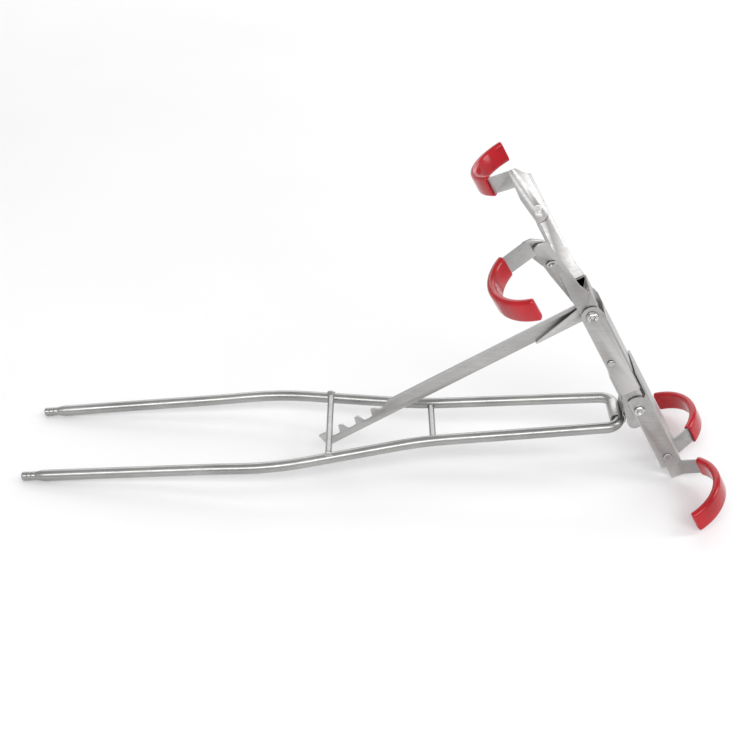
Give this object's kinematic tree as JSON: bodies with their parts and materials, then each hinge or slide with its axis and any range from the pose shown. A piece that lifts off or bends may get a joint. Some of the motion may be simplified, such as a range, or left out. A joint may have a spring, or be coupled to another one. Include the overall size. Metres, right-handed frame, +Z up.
{
  "type": "folding rod rest",
  "caption": "Folding twin rod rest: bent-rod legs, a hinged channel bar propped by a toothed strut, and sleeved hooks at both ends.",
  "frame": {"origin": "centre of the bounding box at the level that it stands on", "axes": "+Z up; +X from the leg tips to the hinge; the part is symmetric about the XZ plane apart from the strut's folded wing"},
  "size_m": [0.4054, 0.1918, 0.1722],
  "materials": {
    "rod_steel": "drawn round rod, bright satin",
    "sheet_steel": "satin sheet with fine grain and bright sheared edges",
    "rivet_steel": "polished rivets",
    "red_vinyl": "dipped soft vinyl, glossy red"
  },
  "bodies": {
    "legs": {"leg_frame": "rod_steel", "strut_rung": "rod_steel", "brace_rung": "rod_steel"},
    "bar": {"main_channel": "sheet_steel", "pivot_bracket": "sheet_steel", "hinge_clip": "sheet_steel", "bracket_pin": "rivet_steel", "pivot_rivet": "rivet_steel", "rear_rivet": "rivet_steel", "spacer_near": "rivet_steel", "spacer_far": "rivet_steel"},
    "strut": {"toothed_strut": "sheet_steel"},
    "front_fork": {"fork_yoke": "sheet_steel", "front_hook_near": "sheet_steel", "front_hook_far": "sheet_steel", "front_sleeve_near": "red_vinyl", "front_sleeve_far": "red_vinyl", "front_hook_rivet_near": "rivet_steel", "front_hook_rivet_far": "rivet_steel"},
    "rear_fork": {"rear_channel": "sheet_steel", "rear_hook_near": "sheet_steel", "rear_hook_far": "sheet_steel", "rear_sleeve_near": "red_vinyl", "rear_sleeve_far": "red_vinyl", "rear_hook_rivet_near": "rivet_steel", "rear_hook_rivet_far": "rivet_steel"}
  },
  "joints": [
    {"name": "bar_tilt", "type": "hinge", "parent": "legs", "child": "bar", "pos_m": [0.14044, 0, 0.03941], "axis": [0, -1, 0], "range_deg": [0, 50]},
    {"name": "strut_swing", "type": "hinge", "parent": "bar", "child": "strut", "pos_m": [0.11559, 0, 0.10993], "axis": [0, 1, 0], "range_deg": [0, 47]},
    {"name": "front_fork_fold", "type": "hinge", "parent": "bar", "child": "front_fork", "pos_m": [0.11559, 0, 0.10993], "axis": [0, 1, 0], "range_deg": [0, 90]},
    {"name": "rear_fork_fold", "type": "hinge", "parent": "bar", "child": "rear_fork", "pos_m": [0.15094, 0, 0.04858], "axis": [0, 1, 0], "range_deg": [0, 40]}
  ],
  "couplings": [
    {"joint": "strut_swing", "follows": "bar_tilt", "ratio": 0.94}
  ]
}
